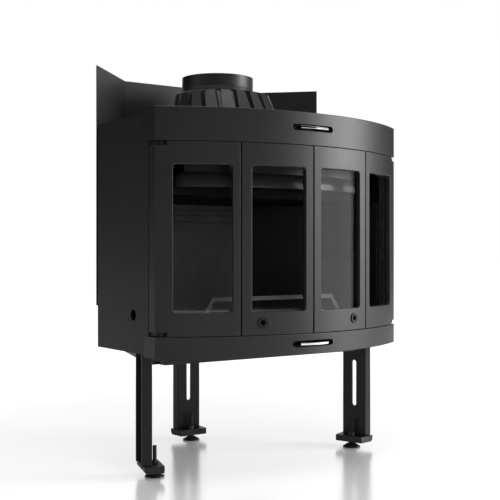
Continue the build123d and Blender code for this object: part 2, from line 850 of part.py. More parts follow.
def curved_panel(outer_radius, inner_radius, window, margin, opening=None):
    """A curved rectangle that covers a window with a margin, with an opening if one is given."""
    middle = angle_of(sum(window) / 2)
    half = angle_of(window[1] - window[0])
    with BuildPart() as panel:
        with BuildSketch(Plane.XY.offset(window_bottom - 2 * margin)):
            add(curved_band(outer_radius, inner_radius, middle - half, middle + half))
        extrude(amount=window_height + 4 * margin)
        with BuildSketch(window_plane(window)):
            RectangleRounded(
                window_width(window) + 2 * margin,
                window_height + 2 * margin,
                window_corner,
            )
        extrude(amount=-2 * leaf_thickness, both=True, mode=Mode.INTERSECT)
        if opening is not None:
            with BuildSketch(window_plane(window)):
                RectangleRounded(
                    window_width(window) + 2 * opening,
                    window_height + 2 * opening,
                    window_corner,
                )
            extrude(amount=-2 * leaf_thickness, both=True, mode=Mode.SUBTRACT)
    return panel.part


def fold_zones(outer_leaf):
    """Heights and lengths of a leaf's barrels, in the bottom and the top rail."""
    zones = []
    length = 2 * fold_barrel_length + fold_middle_length + 2 * slide_gap
    for base in (leaf_bottom + fold_hinge_inset, leaf_top - fold_hinge_inset - length):
        if outer_leaf:
            zones.append((base, fold_barrel_length))
            zones.append((base + length - fold_barrel_length, fold_barrel_length))
        else:
            zones.append((base + fold_barrel_length + slide_gap, fold_middle_length))
    return zones


def door_frame(outer_leaf):
    """A right-hand door frame with its barrels, lugs, notches and lock boss."""
    window = outer_window if outer_leaf else inner_window
    reveal_radius = front_radius - window_reveal
    front_layer = leaf_layer(front_radius, reveal_radius, outer_leaf, window, 0)
    rear_layer = leaf_layer(reveal_radius, back_of_leaf, outer_leaf, window, rebate_lap)
    pad_start = fold_arc + (leaf_gap / 2 if outer_leaf else -leaf_gap / 2)
    pad_end = pad_start + (fold_pad_length if outer_leaf else -fold_pad_length)
    with BuildPart() as frame:
        add(front_layer)
        add(rear_layer)
        front = frame.faces().filter_by(GeomType.CYLINDER).sort_by(SortBy.AREA)[-2:].sort_by(Axis.Y)[0]
        outline = front.outer_wire().edges()
        window_edges = front.inner_wires()[0].edges()
        fillet(window_edges, window_edge_round)
        fillet(outline.filter_by(Axis.Z), leaf_edge_round)
        for height, length in fold_zones(outer_leaf):
            with BuildSketch(Plane.XY.offset(height)):
                with Locations((fold_x, fold_y)):
                    Circle(fold_barrel_radius)
                pad = curved_band(
                    back_of_leaf + 1,
                    back_of_leaf - fold_pad_thickness,
                    angle_of(min(pad_start, pad_end)),
                    angle_of(max(pad_start, pad_end)),
                )
                add(pad)
                with Locations((fold_x, fold_y)):
                    Circle(fold_pin_radius + pin_fit, mode=Mode.SUBTRACT)
            extrude(amount=length)
        if outer_leaf:
            for height in (leaf_bottom - 1, leaf_top - notch_height):
                with BuildSketch(Plane.XY.offset(height)):
                    with Locations((notch_x + notch_length / 2 + 1, hinge_y)):
                        Rectangle(notch_length + 2, 3 * leaf_thickness)
                    with Locations((hinge_x, hinge_y)):
                        Circle(hinge_eye_radius + 1)
                extrude(amount=notch_height + 1, mode=Mode.SUBTRACT)
            for height in (leaf_bottom, leaf_top - notch_height - hinge_pin_length - 1):
                with BuildSketch(Plane.XY.offset(height)):
                    with Locations((hinge_x, hinge_y)):
                        Circle(pin_hole)
                extrude(amount=notch_height + hinge_pin_length + 1, mode=Mode.SUBTRACT)
        else:
            for height in (leaf_bottom, leaf_top - guide_lug_height):
                with BuildSketch(Plane.XY.offset(height)):
                    with Locations((guide_x, guide_y)):
                        Circle(guide_lug_radius)
                    lug = curved_band(
                        back_of_leaf + 1,
                        back_of_leaf - fold_pad_thickness,
                        half_gap,
                        angle_of(guide_x + fold_pad_length),
                    )
                    add(lug)
                    with Locations((guide_x, guide_y)):
                        Circle(guide_pin_radius, mode=Mode.SUBTRACT)
                extrude(amount=guide_lug_height)
            with BuildSketch(lock_plane(front_radius - lock_boss_stand)):
                Circle(lock_boss_radius)
            extrude(amount=2 * lock_boss_stand)
            with BuildSketch(lock_plane(front_radius + leaf_thickness)):
                Circle(lock_spindle_radius + pin_fit)
            extrude(amount=-3 * leaf_thickness, mode=Mode.SUBTRACT)
    return frame.part


def lock_plane(radius):
    """Upright plane square to the right lock's axis, at a distance from the front's centre."""
    x, y = on_curve(radius, lock_angle)
    return Plane(
        origin=(x, y, lock_height),
        x_dir=(cos(radians(lock_angle)), sin(radians(lock_angle)), 0),
        z_dir=(sin(radians(lock_angle)), -cos(radians(lock_angle)), 0),
    )


pane_front = front_radius - window_reveal - glass_bed
pane_back = pane_front - glass_thickness
for outer_leaf, right_number, left_number in ((False, 3, 2), (True, 4, 1)):
    window = outer_window if outer_leaf else inner_window
    with BuildPart() as right_frame:
        add(door_frame(outer_leaf))
    finish(right_frame.part, f"door_frame_{right_number}")
    with BuildPart() as left_frame:
        add(mirrored(right_frame.part))
    finish(left_frame.part, f"door_frame_{left_number}")
    with BuildPart() as right_pane:
        add(curved_panel(pane_front, pane_back, window, glass_lap))
    finish(right_pane.part, f"glass_pane_{right_number}")
    with BuildPart() as left_pane:
        add(mirrored(right_pane.part))
    finish(left_pane.part, f"glass_pane_{left_number}")
    with BuildPart() as right_retainer:
        retainer_front = pane_back - glass_bed
        retainer_back = retainer_front - retainer_thickness
        add(curved_panel(retainer_front, retainer_back, window, glass_lap, retainer_set_back))
    finish(right_retainer.part, f"glass_retainer_{right_number}")
    with BuildPart() as left_retainer:
        add(mirrored(right_retainer.part))
    finish(left_retainer.part, f"glass_retainer_{left_number}")

# Fold pins: one per rail, through the barrels of both leaves
for side, name in ((1, "right"), (-1, "left")):
    with BuildPart() as fold_pins:
        zones = fold_zones(True)
        for lower, upper in (zones[:2], zones[2:]):
            with BuildSketch(Plane.XY.offset(lower[0])):
                with Locations((side * fold_x, fold_y)):
                    Circle(fold_pin_radius)
            extrude(amount=upper[0] + upper[1] - lower[0])
            with BuildSketch(Plane.XY.offset(upper[0] + upper[1])):
                with Locations((side * fold_x, fold_y)):
                    Circle(fold_pin_radius + 1.5)
            extrude(amount=2)
    finish(fold_pins.part, f"fold_pins_{name}")

# Guide pins: held in the lugs of the inner leaves, running in the head and the sill
for side, name in ((1, "right"), (-1, "left")):
    with BuildPart() as guide_pins:
        for start, end in (
            (sill_top - guide_plate, leaf_bottom + guide_lug_height),
            (leaf_top - guide_lug_height, head_bottom + guide_plate),
        ):
            with BuildSketch(Plane.XY.offset(start)):
                with Locations((side * guide_x, guide_y)):
                    Circle(guide_pin_radius)
            extrude(amount=end - start)
    finish(guide_pins.part, f"guide_pins_{name}")

# Lock spindles: a barrel with a square socket for the loose handle, and the tongue behind
with BuildPart() as lock_spindle_right:
    with BuildSketch(lock_plane(tongue_front)):
        Circle(lock_spindle_radius)
    extrude(amount=front_radius + lock_boss_stand - 1 - tongue_front)
    with BuildSketch(lock_plane(front_radius + lock_boss_stand - 1)):
        Rectangle(lock_socket, lock_socket)
    extrude(amount=-lock_socket_depth, mode=Mode.SUBTRACT)
    with BuildSketch(lock_plane(tongue_front)):
        with Locations((-lock_tongue_length / 2, 0)):
            Rectangle(lock_tongue_length, lock_tongue_width)
        Circle(lock_spindle_radius + 1)
    extrude(amount=-lock_tongue_thickness)
finish(lock_spindle_right.part, "lock_spindle_right")

with BuildPart() as lock_spindle_left:
    add(mirrored(lock_spindle_right.part))
finish(lock_spindle_left.part, "lock_spindle_left")

# Hearth plate: a cast tray turned over, standing on the floor plate
burn_inset = casing_sheet + burn_gap
hearth_side = half_width - burn_inset
hearth_rear = at(body_depth) - casing_sheet - rear_burn_gap
hearth_slant = casing_slant - burn_inset * sqrt(2)
hearth_side_end, hearth_rear_end = slant_points(hearth_side, hearth_rear, hearth_slant)
hearth_points = [(hearth_side, at(hearth_front_depth)), hearth_side_end, hearth_rear_end]
hearth_points += [(-x, y) for x, y in reversed(hearth_points)]
with BuildPart() as hearth_plate:
    hearth_floor = body_bottom + floor_sheet
    with BuildSketch(Plane.XY.offset(hearth_floor)):
        with BuildLine():
            Polyline(*hearth_points, close=True)
        make_face()
    extrude(amount=hearth_top - hearth_floor)
    with BuildSketch(Plane.XY.offset(hearth_floor)):
        with BuildLine():
            Polyline(*hearth_points, close=True)
        make_face()
        offset(amount=-hearth_wall, kind=Kind.INTERSECTION, mode=Mode.REPLACE)
    extrude(amount=hearth_top - hearth_plate_thickness - hearth_floor, mode=Mode.SUBTRACT)
finish(hearth_plate.part, "hearth_plate")

# Burn plates: cast plates that stand on the hearth, round three sides of the fire
burn_face_x = hearth_side - burn_thickness
burn_face_slant = hearth_slant - burn_thickness * sqrt(2)
rear_face_y = hearth_rear - burn_thickness
side_end, rear_end = slant_points(burn_face_x, rear_face_y, burn_face_slant)
for side, name in ((1, "right"), (-1, "left")):
    with BuildPart() as burn_plate:
        length = side_end[1] - at(hearth_front_depth) - seam
        with BuildSketch(Plane.XY.offset(hearth_top)):
            with Locations((side * (burn_face_x + burn_thickness / 2), side_end[1] - seam - length / 2)):
                Rectangle(burn_thickness, length)
        extrude(amount=burn_height)
    finish(burn_plate.part, f"burn_plate_{name}")

with BuildPart() as corner_burn_plates:
    corner_length = hypot(side_end[0] - rear_end[0], side_end[1] - rear_end[1])
    corner_x = (side_end[0] + rear_end[0]) / 2 + burn_thickness / 2 / sqrt(2)
    corner_y = (side_end[1] + rear_end[1]) / 2 + burn_thickness / 2 / sqrt(2)
    with BuildSketch(Plane.XY.offset(hearth_top)):
        with Locations((corner_x, corner_y)):
            Rectangle(corner_length, burn_thickness, rotation=-45)
        mirror(about=Plane.YZ)
    extrude(amount=burn_height)
finish(corner_burn_plates.part, "corner_burn_plates")

# Rear burn plates: a plain one, and above it one with rows of air holes
air_hole_count = int(2 * (rear_end[0] - air_hole_margin) / air_hole_pitch)
with BuildPart() as rear_burn_plate:
    joint_z = hearth_top + burn_joint_rise
    with BuildSketch(Plane.XZ.offset(-rear_face_y)):
        for low, high in ((hearth_top, joint_z - seam / 2), (joint_z + seam / 2, burn_top)):
            with Locations((0, (low + high) / 2)):
                Rectangle(2 * rear_end[0] - 2 * seam, high - low)
        for row, drop in enumerate(air_hole_drops):
            with Locations((row % 2 * air_hole_pitch / 2, burn_top - drop)):
                with GridLocations(air_hole_pitch, 0, air_hole_count, 1):
                    Circle(air_hole_radius, mode=Mode.SUBTRACT)
    extrude(amount=-burn_thickness)
finish(rear_burn_plate.part, "rear_burn_plate")

# Air channel behind the holes of the rear plate: a folded sheet on the casing's back
with BuildPart() as secondary_air_channel:
    low, high = hearth_top, burn_top
    outer_depth = rear_burn_gap
    for wall in (0, channel_sheet):
        with BuildSketch(Plane.XY.offset(low + wall)):
            with Locations((0, hearth_rear + (outer_depth - wall) / 2)):
                Rectangle(2 * (rear_end[0] - burn_thickness) - 2 * wall, outer_depth - wall)
        extrude(amount=high - low - 2 * wall, mode=Mode.SUBTRACT if wall else Mode.ADD)
finish(secondary_air_channel.part, "secondary_air_channel")

# Smoke baffle: rests on the burn plates and leaves the smoke a way round its front edge
with BuildPart() as smoke_baffle:
    with BuildSketch(Plane.XY.offset(burn_top)):
        with BuildLine():
            baffle_points = [(hearth_side, at(baffle_front_depth)), hearth_side_end, hearth_rear_end]
            Polyline(*baffle_points, *[(-x, y) for x, y in reversed(baffle_points)], close=True)
        make_face()
    extrude(amount=baffle_thickness)
    top_edges = smoke_baffle.faces().sort_by(Axis.Y)[0].edges().filter_by(Axis.X)
    fillet(top_edges, baffle_round)
finish(smoke_baffle.part, "smoke_baffle")

# Air hood: a round-nosed ledge behind the top of the windows, closed round at both ends
hood_nose = back_of_leaf - hood_front_gap
hood_root = hood_nose - hood_projection
hood_end_angle = degrees(asin((half_width - hood_end_inset) / hood_root))
with BuildPart() as air_wash_hood:
    nose_section = [
        (hood_root, hood_bottom),
        (hood_nose, hood_bottom),
        (hood_root + hood_projection * 0.62, hood_bottom + hood_height * 0.78),
        (hood_root, hood_bottom + hood_height),
    ]
    with BuildSketch(Plane(origin=(0, curve_y, 0), x_dir=(0, -1, 0), z_dir=(-1, 0, 0))):
        with BuildLine():
            Line(nose_section[0], nose_section[1])
            ThreePointArc(nose_section[1], nose_section[2], nose_section[3])
            Line(nose_section[3], nose_section[0])
        make_face()
        with Locations((hood_root + hood_web / 2, (hood_bottom + head_bottom) / 2)):
            Rectangle(hood_web, head_bottom - hood_bottom)
    revolve(axis=Axis((0, curve_y, 0), (0, 0, 1)), revolution_arc=hood_end_angle)
    mirror(about=Plane.YZ)
    for side in (-1, 1):
        end_x, end_y = on_curve(hood_root, side * hood_end_angle)
        outward = (sin(radians(side * hood_end_angle)), -cos(radians(hood_end_angle)), 0)
        across = (-outward[1], outward[0], 0)
        turn_plane = Plane(origin=(end_x, end_y, 0), x_dir=outward, z_dir=across)
        if side > 0:
            turn_plane = Plane(origin=(end_x, end_y, 0), x_dir=outward, z_dir=[-v for v in across])
        with BuildSketch(turn_plane):
            with BuildLine():
                shift = side * hood_bottom
                Line((0, shift), (hood_projection, shift))
                ThreePointArc(
                    (hood_projection, shift),
                    (hood_projection * 0.62, side * (hood_bottom + hood_height * 0.78)),
                    (0, side * (hood_bottom + hood_height)),
                )
                Line((0, side * (hood_bottom + hood_height)), (0, shift))
            make_face()
        revolve(axis=Axis((end_x, end_y, 0), (0, 0, side)), revolution_arc=90)
finish(air_wash_hood.part, "air_wash_hood")

# Log guard: a bar with sloping ends that stands on the hearth
with BuildPart() as log_guard:
    slope = hypot(guard_splay, guard_rise)
    half_bar = guard_bar / 2
    foot_half = half_bar * slope / guard_rise
    corner_shift = half_bar * (slope - guard_splay) / guard_rise
    guard_foot_x = guard_half_span + guard_splay
    guard_points = [
        (guard_foot_x + foot_half, hearth_top),
        (guard_half_span + corner_shift, guard_height + half_bar),
        (-guard_half_span - corner_shift, guard_height + half_bar),
        (-guard_foot_x - foot_half, hearth_top),
        (-guard_foot_x + foot_half, hearth_top),
        (-guard_half_span + corner_shift, guard_height - half_bar),
        (guard_half_span - corner_shift, guard_height - half_bar),
        (guard_foot_x - foot_half, hearth_top),
    ]
    with BuildSketch(Plane.XZ.offset(-at(guard_depth) + guard_thickness / 2)):
        with BuildLine():
            Polyline(*guard_points, close=True)
        make_face()
    extrude(amount=-guard_thickness)
finish(log_guard.part, "log_guard")

# Air controls: a ported channel behind each trim, a shutter in its lips and a lever in front
port_shift = lever_travel
channels = (
    ("upper", head_bottom + guide_plate, body_top - cover_sheet, upper_slot_height),
    ("lower", body_bottom + floor_sheet, sill_top - guide_plate, lower_slot_height),
)
for name, low, high, lever_height in channels:
    wall_y = at(channel_depth)
    lip_back = wall_y - shutter_thickness - 2 * slide_gap
    port_height = high - low - 2 * channel_sheet - 2 * channel_lip
    middle = (low + high) / 2
    with BuildPart() as air_channel:
        rear_y = wall_y + channel_run
        front_y_end = lip_back - channel_sheet
        channel_points = [
            (front_y_end, low),
            (rear_y, low),
            (rear_y, low + channel_sheet),
            (wall_y + channel_sheet, low + channel_sheet),
            (wall_y + channel_sheet, high - channel_sheet),
            (rear_y, high - channel_sheet),
            (rear_y, high),
            (front_y_end, high),
            (front_y_end, high - channel_sheet - channel_lip),
            (lip_back, high - channel_sheet - channel_lip),
            (lip_back, high - channel_sheet),
            (wall_y, high - channel_sheet),
            (wall_y, low + channel_sheet),
            (lip_back, low + channel_sheet),
            (lip_back, low + channel_sheet + channel_lip),
            (front_y_end, low + channel_sheet + channel_lip),
        ]
        with BuildSketch(Plane.YZ.offset(-channel_width / 2)):
            with BuildLine():
                Polyline(*channel_points, close=True)
            make_face()
        extrude(amount=channel_width)
        with BuildSketch(Plane.XZ.offset(-wall_y)):
            with Locations((-port_shift - port_pitch / 2, middle), (-port_shift + port_pitch / 2, middle)):
                Rectangle(port_width, port_height)
        extrude(amount=-channel_sheet, mode=Mode.SUBTRACT)
    finish(air_channel.part, f"{name}_air_channel")
    with BuildPart() as air_shutter:
        with BuildSketch(Plane.XZ.offset(-wall_y + slide_gap)):
            with Locations((0, middle)):
                Rectangle(shutter_width, high - low - 2 * channel_sheet - 2 * slide_gap)
            with Locations((-port_pitch / 2, middle), (port_pitch / 2, middle)):
                Rectangle(port_width, port_height, mode=Mode.SUBTRACT)
        extrude(amount=shutter_thickness)
    finish(air_shutter.part, f"{name}_air_shutter")
    with BuildPart() as air_lever:
        tip = at(-lever_reach)
        sagitta = lever_edge_radius - sqrt(lever_edge_radius ** 2 - lever_width ** 2 / 4)
        shutter_front = wall_y - slide_gap - shutter_thickness
        with BuildSketch(Plane.XY.offset(lever_height - lever_thickness / 2)):
            with BuildLine():
                ThreePointArc(
                    (-lever_width / 2, tip + sagitta),
                    (0, tip),
                    (lever_width / 2, tip + sagitta),
                )
                Polyline(
                    (lever_width / 2, tip + sagitta),
                    (lever_width / 2, tip + lever_body),
                    (-lever_width / 2, tip + lever_body),
                    (-lever_width / 2, tip + sagitta),
                )
            make_face()
            with Locations((0, (tip + lever_body / 2 + shutter_front) / 2)):
                Rectangle(lever_stem_width, shutter_front - tip - lever_body / 2)
        extrude(amount=lever_thickness)
        fillet(air_lever.faces().filter_by(GeomType.CYLINDER).edges(), lever_edge_round)
    finish(air_lever.part, f"{name}_air_lever")


# Crown: a ribbed casting that carries the round collar up and back from the top cover
def crown_circle(depth, height, radius):
    """One round section of the crown, on its own level plane."""
    with BuildSketch(Plane.XY.offset(height)) as circle:
        with Locations((0, at(depth))):
            Circle(radius)
    return circle.sketch


def crown_stage(*sections):
    """A straight-sided body through round sections given as depth, height and radius."""
    with BuildPart() as stage:
        for lower, upper in zip(sections, sections[1:]):
            with BuildPart(mode=Mode.PRIVATE) as piece:
                add(crown_circle(*lower))
                add(crown_circle(*upper))
                loft(ruled=True)
            add(piece.part)
    return stage.part


def crown_tooth(angle):
    """One rib: straight sides, narrowing upward, with its outer corners on the crown's cone."""
    rise = (crown_top_z - body_top) / (crown_shoulder_z - body_top)
    top_radius = crown_base_radius + (crown_shoulder_radius - crown_base_radius) * rise
    top_depth = crown_base_depth + (crown_shoulder_depth - crown_base_depth) * rise
    away = (-sin(radians(angle)), -cos(radians(angle)))
    with BuildPart() as tooth:
        for height, depth, radius, width in (
            (body_top, crown_base_depth, crown_base_radius, crown_tooth_base),
            (crown_top_z, top_depth, top_radius, crown_tooth_top),
        ):
            outer = sqrt(radius ** 2 - width ** 2 / 4)
            middle = outer - crown_tooth_root / 2
            with BuildSketch(Plane.XY.offset(height)):
                with Locations((away[0] * middle, at(depth) + away[1] * middle)):
                    Rectangle(width, crown_tooth_root, rotation=-angle)
        loft(ruled=True)
    return tooth.part


bore_radius = flue_radius - flue_wall + flue_skirt_wall + flue_fit
with BuildPart() as heat_crown:
    add(crown_stage(
        (crown_base_depth, body_top, crown_base_radius - crown_valley),
        (crown_shoulder_depth, crown_shoulder_z, crown_shoulder_radius - crown_valley),
    ))
    with BuildSketch(Plane.XY.offset(body_top)):
        with Locations((0, at(flue_depth))):
            Circle(flue_foot_radius)
    extrude(amount=crown_top_z - body_top)
    for index in range(crown_teeth):
        add(crown_tooth(crown_phase + index * 360 / crown_teeth))
    add(
        crown_stage(
            (crown_base_depth, body_top, crown_base_radius),
            (crown_shoulder_depth, crown_shoulder_z, crown_shoulder_radius),
            (flue_depth, crown_top_z, flue_foot_radius),
        ),
        mode=Mode.INTERSECT,
    )
    with BuildSketch(Plane.XY.offset(body_top)):
        with Locations((0, at(crown_base_depth))):
            Circle(crown_base_radius + crown_flange)
    extrude(amount=crown_flange_thickness)
    add(
        crown_stage(
            (crown_bore_depth, body_top, crown_bore_radius),
            (flue_depth, crown_neck_bottom, bore_radius),
            (flue_depth, crown_top_z, bore_radius),
        ),
        mode=Mode.SUBTRACT,
    )
finish(heat_crown.part, "heat_crown")

# Flue collar: rests on the crown, with a skirt inside its neck
with BuildPart() as flue_collar:
    inner = flue_radius - flue_wall
    collar_points = [
        (inner, crown_top_z - flue_skirt),
        (inner + flue_skirt_wall, crown_top_z - flue_skirt),
        (inner + flue_skirt_wall, crown_top_z),
        (flue_foot_radius, crown_top_z),
        (flue_radius, flue_flare_top),
        (flue_radius, flue_top),
        (inner, flue_top),
    ]
    with BuildSketch(Plane(origin=(0, at(flue_depth), 0), x_dir=(1, 0, 0), z_dir=(0, -1, 0))):
        with BuildLine():
            Polyline(*collar_points, close=True)
        make_face()
    revolve(axis=Axis((0, at(flue_depth), 0), (0, 0, 1)))
finish(flue_collar.part, "flue_collar")

# Heat shields: two bent sheets behind the casing, the upper one reaching above the cover
wing_end = at(side_depth + shield_wing)
with BuildPart() as rear_heat_shield:
    with BuildSketch(Plane.XY.offset(shield_bottom)):
        add(bent_back(-shield_gap, shield_sheet, wing_end))
    extrude(amount=shield_split - seam - shield_bottom)
finish(rear_heat_shield.part, "rear_heat_shield")

with BuildPart() as heat_deflector:
    with BuildSketch(Plane.XY.offset(shield_split)):
        add(bent_back(-shield_gap, shield_sheet, wing_end))
    extrude(amount=deflector_top - shield_split)
finish(heat_deflector.part, "heat_deflector")

# Spacers: studs between the casing and the shields
with BuildPart() as shield_spacers:
    rear_span = casing_slant - at(body_depth) - spacer_inset
    spacer_heights = (
        shield_bottom + spacer_edge,
        shield_split - spacer_edge,
        shield_split + (body_top - shield_split) / 2,
    )
    spots = [(side * rear_span, height) for side in (-1, 1) for height in spacer_heights]
    with BuildSketch(Plane.XZ.offset(-at(body_depth))):
        with Locations(*spots):
            Circle(spacer_radius)
    extrude(amount=-shield_gap)
    wing_length = rear_chamfer - shield_wing
    for side in (-1, 1):
        spot_y = at(body_depth) - wing_length / 2
        origin = (side * (casing_slant - spot_y), spot_y, 0)
        face = Plane(origin=origin, x_dir=(-1, side, 0), z_dir=(side, 1, 0))
        with BuildSketch(face):
            with Locations(*[(0, height) for height in spacer_heights]):
                Circle(spacer_radius)
        extrude(amount=shield_gap)
finish(shield_spacers.part, "shield_spacers")
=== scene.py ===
# %% [markdown]
# # A fireplace insert, dressed for its portrait
#
# The imported model arrives with the true shape of every piece: casing, folding glass doors,
# cast crown, legs and feet. What is left for Blender is how it looks: the matte anthracite
# paint, the cast iron in the fire chamber, the glass, the bright levers, the threads and the
# small fasteners, and a studio that shows them. The model is loaded first.

import bmesh
import bpy
from math import cos, pi, radians, sin
from mathutils import Matrix, Vector


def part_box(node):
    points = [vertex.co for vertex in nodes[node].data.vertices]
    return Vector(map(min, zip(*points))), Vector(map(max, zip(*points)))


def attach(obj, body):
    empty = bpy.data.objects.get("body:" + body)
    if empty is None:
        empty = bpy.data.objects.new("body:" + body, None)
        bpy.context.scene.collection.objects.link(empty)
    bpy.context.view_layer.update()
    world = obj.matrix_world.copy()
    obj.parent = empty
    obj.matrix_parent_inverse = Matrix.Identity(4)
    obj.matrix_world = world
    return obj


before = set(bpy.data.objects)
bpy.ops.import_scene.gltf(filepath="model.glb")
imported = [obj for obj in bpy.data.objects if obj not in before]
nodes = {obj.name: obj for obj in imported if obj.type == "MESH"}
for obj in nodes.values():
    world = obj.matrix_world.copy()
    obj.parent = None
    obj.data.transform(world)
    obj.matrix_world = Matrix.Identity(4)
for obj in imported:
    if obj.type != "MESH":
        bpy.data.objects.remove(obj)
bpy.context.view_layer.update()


# %% [markdown]
# ## The camera
#
# The edges of the side panel and of the trims were measured in the photograph and fitted with
# a camera: it stands at the front left, at a bit over half the height of the stove, and looks
# level, turned 35 degrees. It could be placed by eye, but a fitted camera puts each edge where
# the photograph has it, so the two pictures can be compared. A level camera keeps all upright
# edges upright. The frame is square, so the lens follows from one number, the focal length in
# pixels of a frame 500 pixels wide.

# %% Camera
FRAME_PIXELS = 500
FOCAL_PIXELS = 981.13
SENSOR = 36.0
CAMERA_PLACE = (-1.5133, -2.1926, 0.5578)
CAMERA_TURN = -35.0

camera_data = bpy.data.cameras.new("portrait_camera")
camera_data.sensor_width = SENSOR
camera_data.lens = FOCAL_PIXELS / FRAME_PIXELS * SENSOR
camera_data.clip_end = 100.0
camera = bpy.data.objects.new("portrait_camera", camera_data)
camera.location = CAMERA_PLACE
camera.rotation_euler = (radians(90.0), 0.0, radians(CAMERA_TURN))
bpy.context.scene.collection.objects.link(camera)
bpy.context.scene.camera = camera
print("lens:", round(camera_data.lens, 2), "mm")


# %% [markdown]
# ## Writing materials as sums
#
# A procedural finish is a web of small nodes, and webs are hard to read. They could be drawn
# by hand in the editor or linked one by one in code. Here a shader value is wrapped in a small
# class instead, so that `1 - wear * 0.3` adds the Math nodes by itself. Colours and vectors
# don't go through it, because a Math node turns a colour grey: they have Mix and Vector Math
# nodes of their own. Every other node comes from one method, which takes the node's type, its
# settings and what goes into its sockets.

# %% A shader value with the usual operators
class Value:
    """A number that varies over a surface, held as the output of a node."""

    def __init__(self, web, socket):
        self.web = web
        self.socket = socket

    def _math(self, operation, first, second):
        return self.web.node("ShaderNodeMath", {"operation": operation}, {0: first, 1: second})

    def __add__(self, other):
        return self._math("ADD", self, other)

    def __radd__(self, other):
        return self._math("ADD", other, self)

    def __sub__(self, other):
        return self._math("SUBTRACT", self, other)

    def __rsub__(self, other):
        return self._math("SUBTRACT", other, self)

    def __mul__(self, other):
        return self._math("MULTIPLY", self, other)

    def __rmul__(self, other):
        return self._math("MULTIPLY", other, self)

    def __pow__(self, other):
        return self._math("POWER", self, other)

    def __rpow__(self, other):
        return self._math("POWER", other, self)


# %% A web of nodes, for a material or for the world
def grey(level):
    """A neutral colour as a socket takes it: red, green, blue and alpha."""
    return (level, level, level, 1.0)


class Web:
    """The nodes of a material or of the world. `node` adds any node to them."""

    def __init__(self, owner, output_kind):
        owner.use_nodes = True
        self.tree = owner.node_tree
        self.tree.nodes.clear()
        self.output = self.tree.nodes.new(output_kind)

    def node(self, kind, settings=None, inputs=None, output=0):
        """Settings go first. An input is a value or a link; a tuple of outputs gives a list."""
        made = self.tree.nodes.new(kind)
        for name, value in (settings or {}).items():
            if name == "stops":
                self._set_stops(made.color_ramp, value)
            else:
                setattr(made, name, value)
        for key, value in (inputs or {}).items():
            socket = made.inputs[key]
            if isinstance(value, Value):
                self.tree.links.new(value.socket, socket)
            else:
                socket.default_value = value
        if isinstance(output, tuple):
            return [Value(self, made.outputs[key]) for key in output]
        return Value(self, made.outputs[output])

    def _set_stops(self, ramp, stops):
        """A new ramp has two stops, which is what every mask here needs."""
        for element, (position, level) in zip(ramp.elements, stops):
            element.position = position
            element.color = grey(level)

    def surface(self, shader):
        self.tree.links.new(shader.socket, self.output.inputs["Surface"])


# %% A finish, which is one material
class Finish(Web):
    """A material under construction, with the textures that its surface is made of."""

    def __init__(self, name):
        self.material = bpy.data.materials.new(name)
        super().__init__(self.material, "ShaderNodeOutputMaterial")

    def place(self):
        """Where a point lies on the object, in metres."""
        return self.node("ShaderNodeTexCoord", output="Object")

    def noise(self, scale, detail=2.0, roughness=0.5):
        """Soft random patches; scale is in patches per metre."""
        inputs = {"Vector": self.place(), "Scale": scale, "Detail": detail, "Roughness": roughness}
        return self.node("ShaderNodeTexNoise", None, inputs)

    def ramp(self, value, stops):
        return self.node("ShaderNodeValToRGB", {"stops": stops}, {0: value})

    def blend(self, mask, first, second):
        """One colour where the mask is 0 and another where it is 1."""
        inputs = {0: mask, 6: first, 7: second}
        return self.node("ShaderNodeMix", {"data_type": "RGBA"}, inputs, output=2)

    def bump(self, height, distance):
        """Relief for the Normal socket; distance is how high a height of 1 stands, in metres."""
        return self.node("ShaderNodeBump", None, {"Height": height, "Distance": distance})

    def finished(self, shader):
        self.surface(shader)
        return self.material


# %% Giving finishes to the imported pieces
DOORS = (1, 2, 3, 4)
FEET = ("left", "right", "rear")
dressed = set()


def on_doors(piece):
    return [f"{piece}_{door}" for door in DOORS]


def dress(material, names):
    """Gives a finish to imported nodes."""
    for name in names:
        mesh = nodes[name].data
        if not mesh.materials:
            mesh.materials.append(material)
        for index in range(len(mesh.materials)):
            mesh.materials[index] = material
    dressed.update(names)
    print(material.name, "on", len(names), "nodes")


# %% [markdown]
# ## Anthracite stove paint
#
# The casing, the trims and the doors wear the same baked paint: nearly black, a little cool,
# and matte with a soft sheen, so that a wide lamp draws one long gradient over the curved
# front. Close by it isn't flat: it has a fine grain of about half a millimetre, thin spots
# where the sheen is drier, and a faint cloudiness. A picture of paint would need unwrapped
# faces and would repeat on plates this large. Noise in the object's own metres has no seams,
# and its scale can be read off the real thing. The grain goes into a Bump node, the dry spots
# into the roughness, and the clouds into the colour. The specular level is the same all over,
# so it is set on the shader's own socket.
#
# The head and sill plates behind the doors' edges, and the channel behind the air holes of the
# chamber, get nearly black paint without sheen. That is painted shade: the gaps above and below
# the doors and the holes read as dark. The hood and the bar that keeps the logs off the glass
# are painted too, and lighter, as painted light for the light that reaches them in the dark
# chamber.

# %% Stove paint
def stove_paint(name, dark, light, roughness, grain, specular=0.3):
    """Cloudy between dark and light; grain is how high its bumps stand, in metres."""
    paint = Finish(name)
    clouds = paint.ramp(paint.noise(scale=9.0, detail=3.0), [(0.3, 0.0), (0.7, 1.0)])
    speckle = paint.ramp(paint.noise(scale=900.0, roughness=0.6), [(0.42, 0.0), (0.62, 1.0)])
    dry_spots = paint.noise(scale=38.0, detail=4.0, roughness=0.6)
    height = paint.noise(scale=1700.0, roughness=0.55) + paint.noise(scale=420.0) * 0.6
    return paint.finished(paint.node("ShaderNodeBsdfPrincipled", None, {
        "Base Color": paint.blend(clouds * 0.7 + speckle * 0.3, dark, light),
        "Roughness": dry_spots * 0.08 + (roughness - 0.04),
        "Metallic": 0.0,
        "Specular IOR Level": specular,
        "Normal": paint.bump(height, grain),
    }))


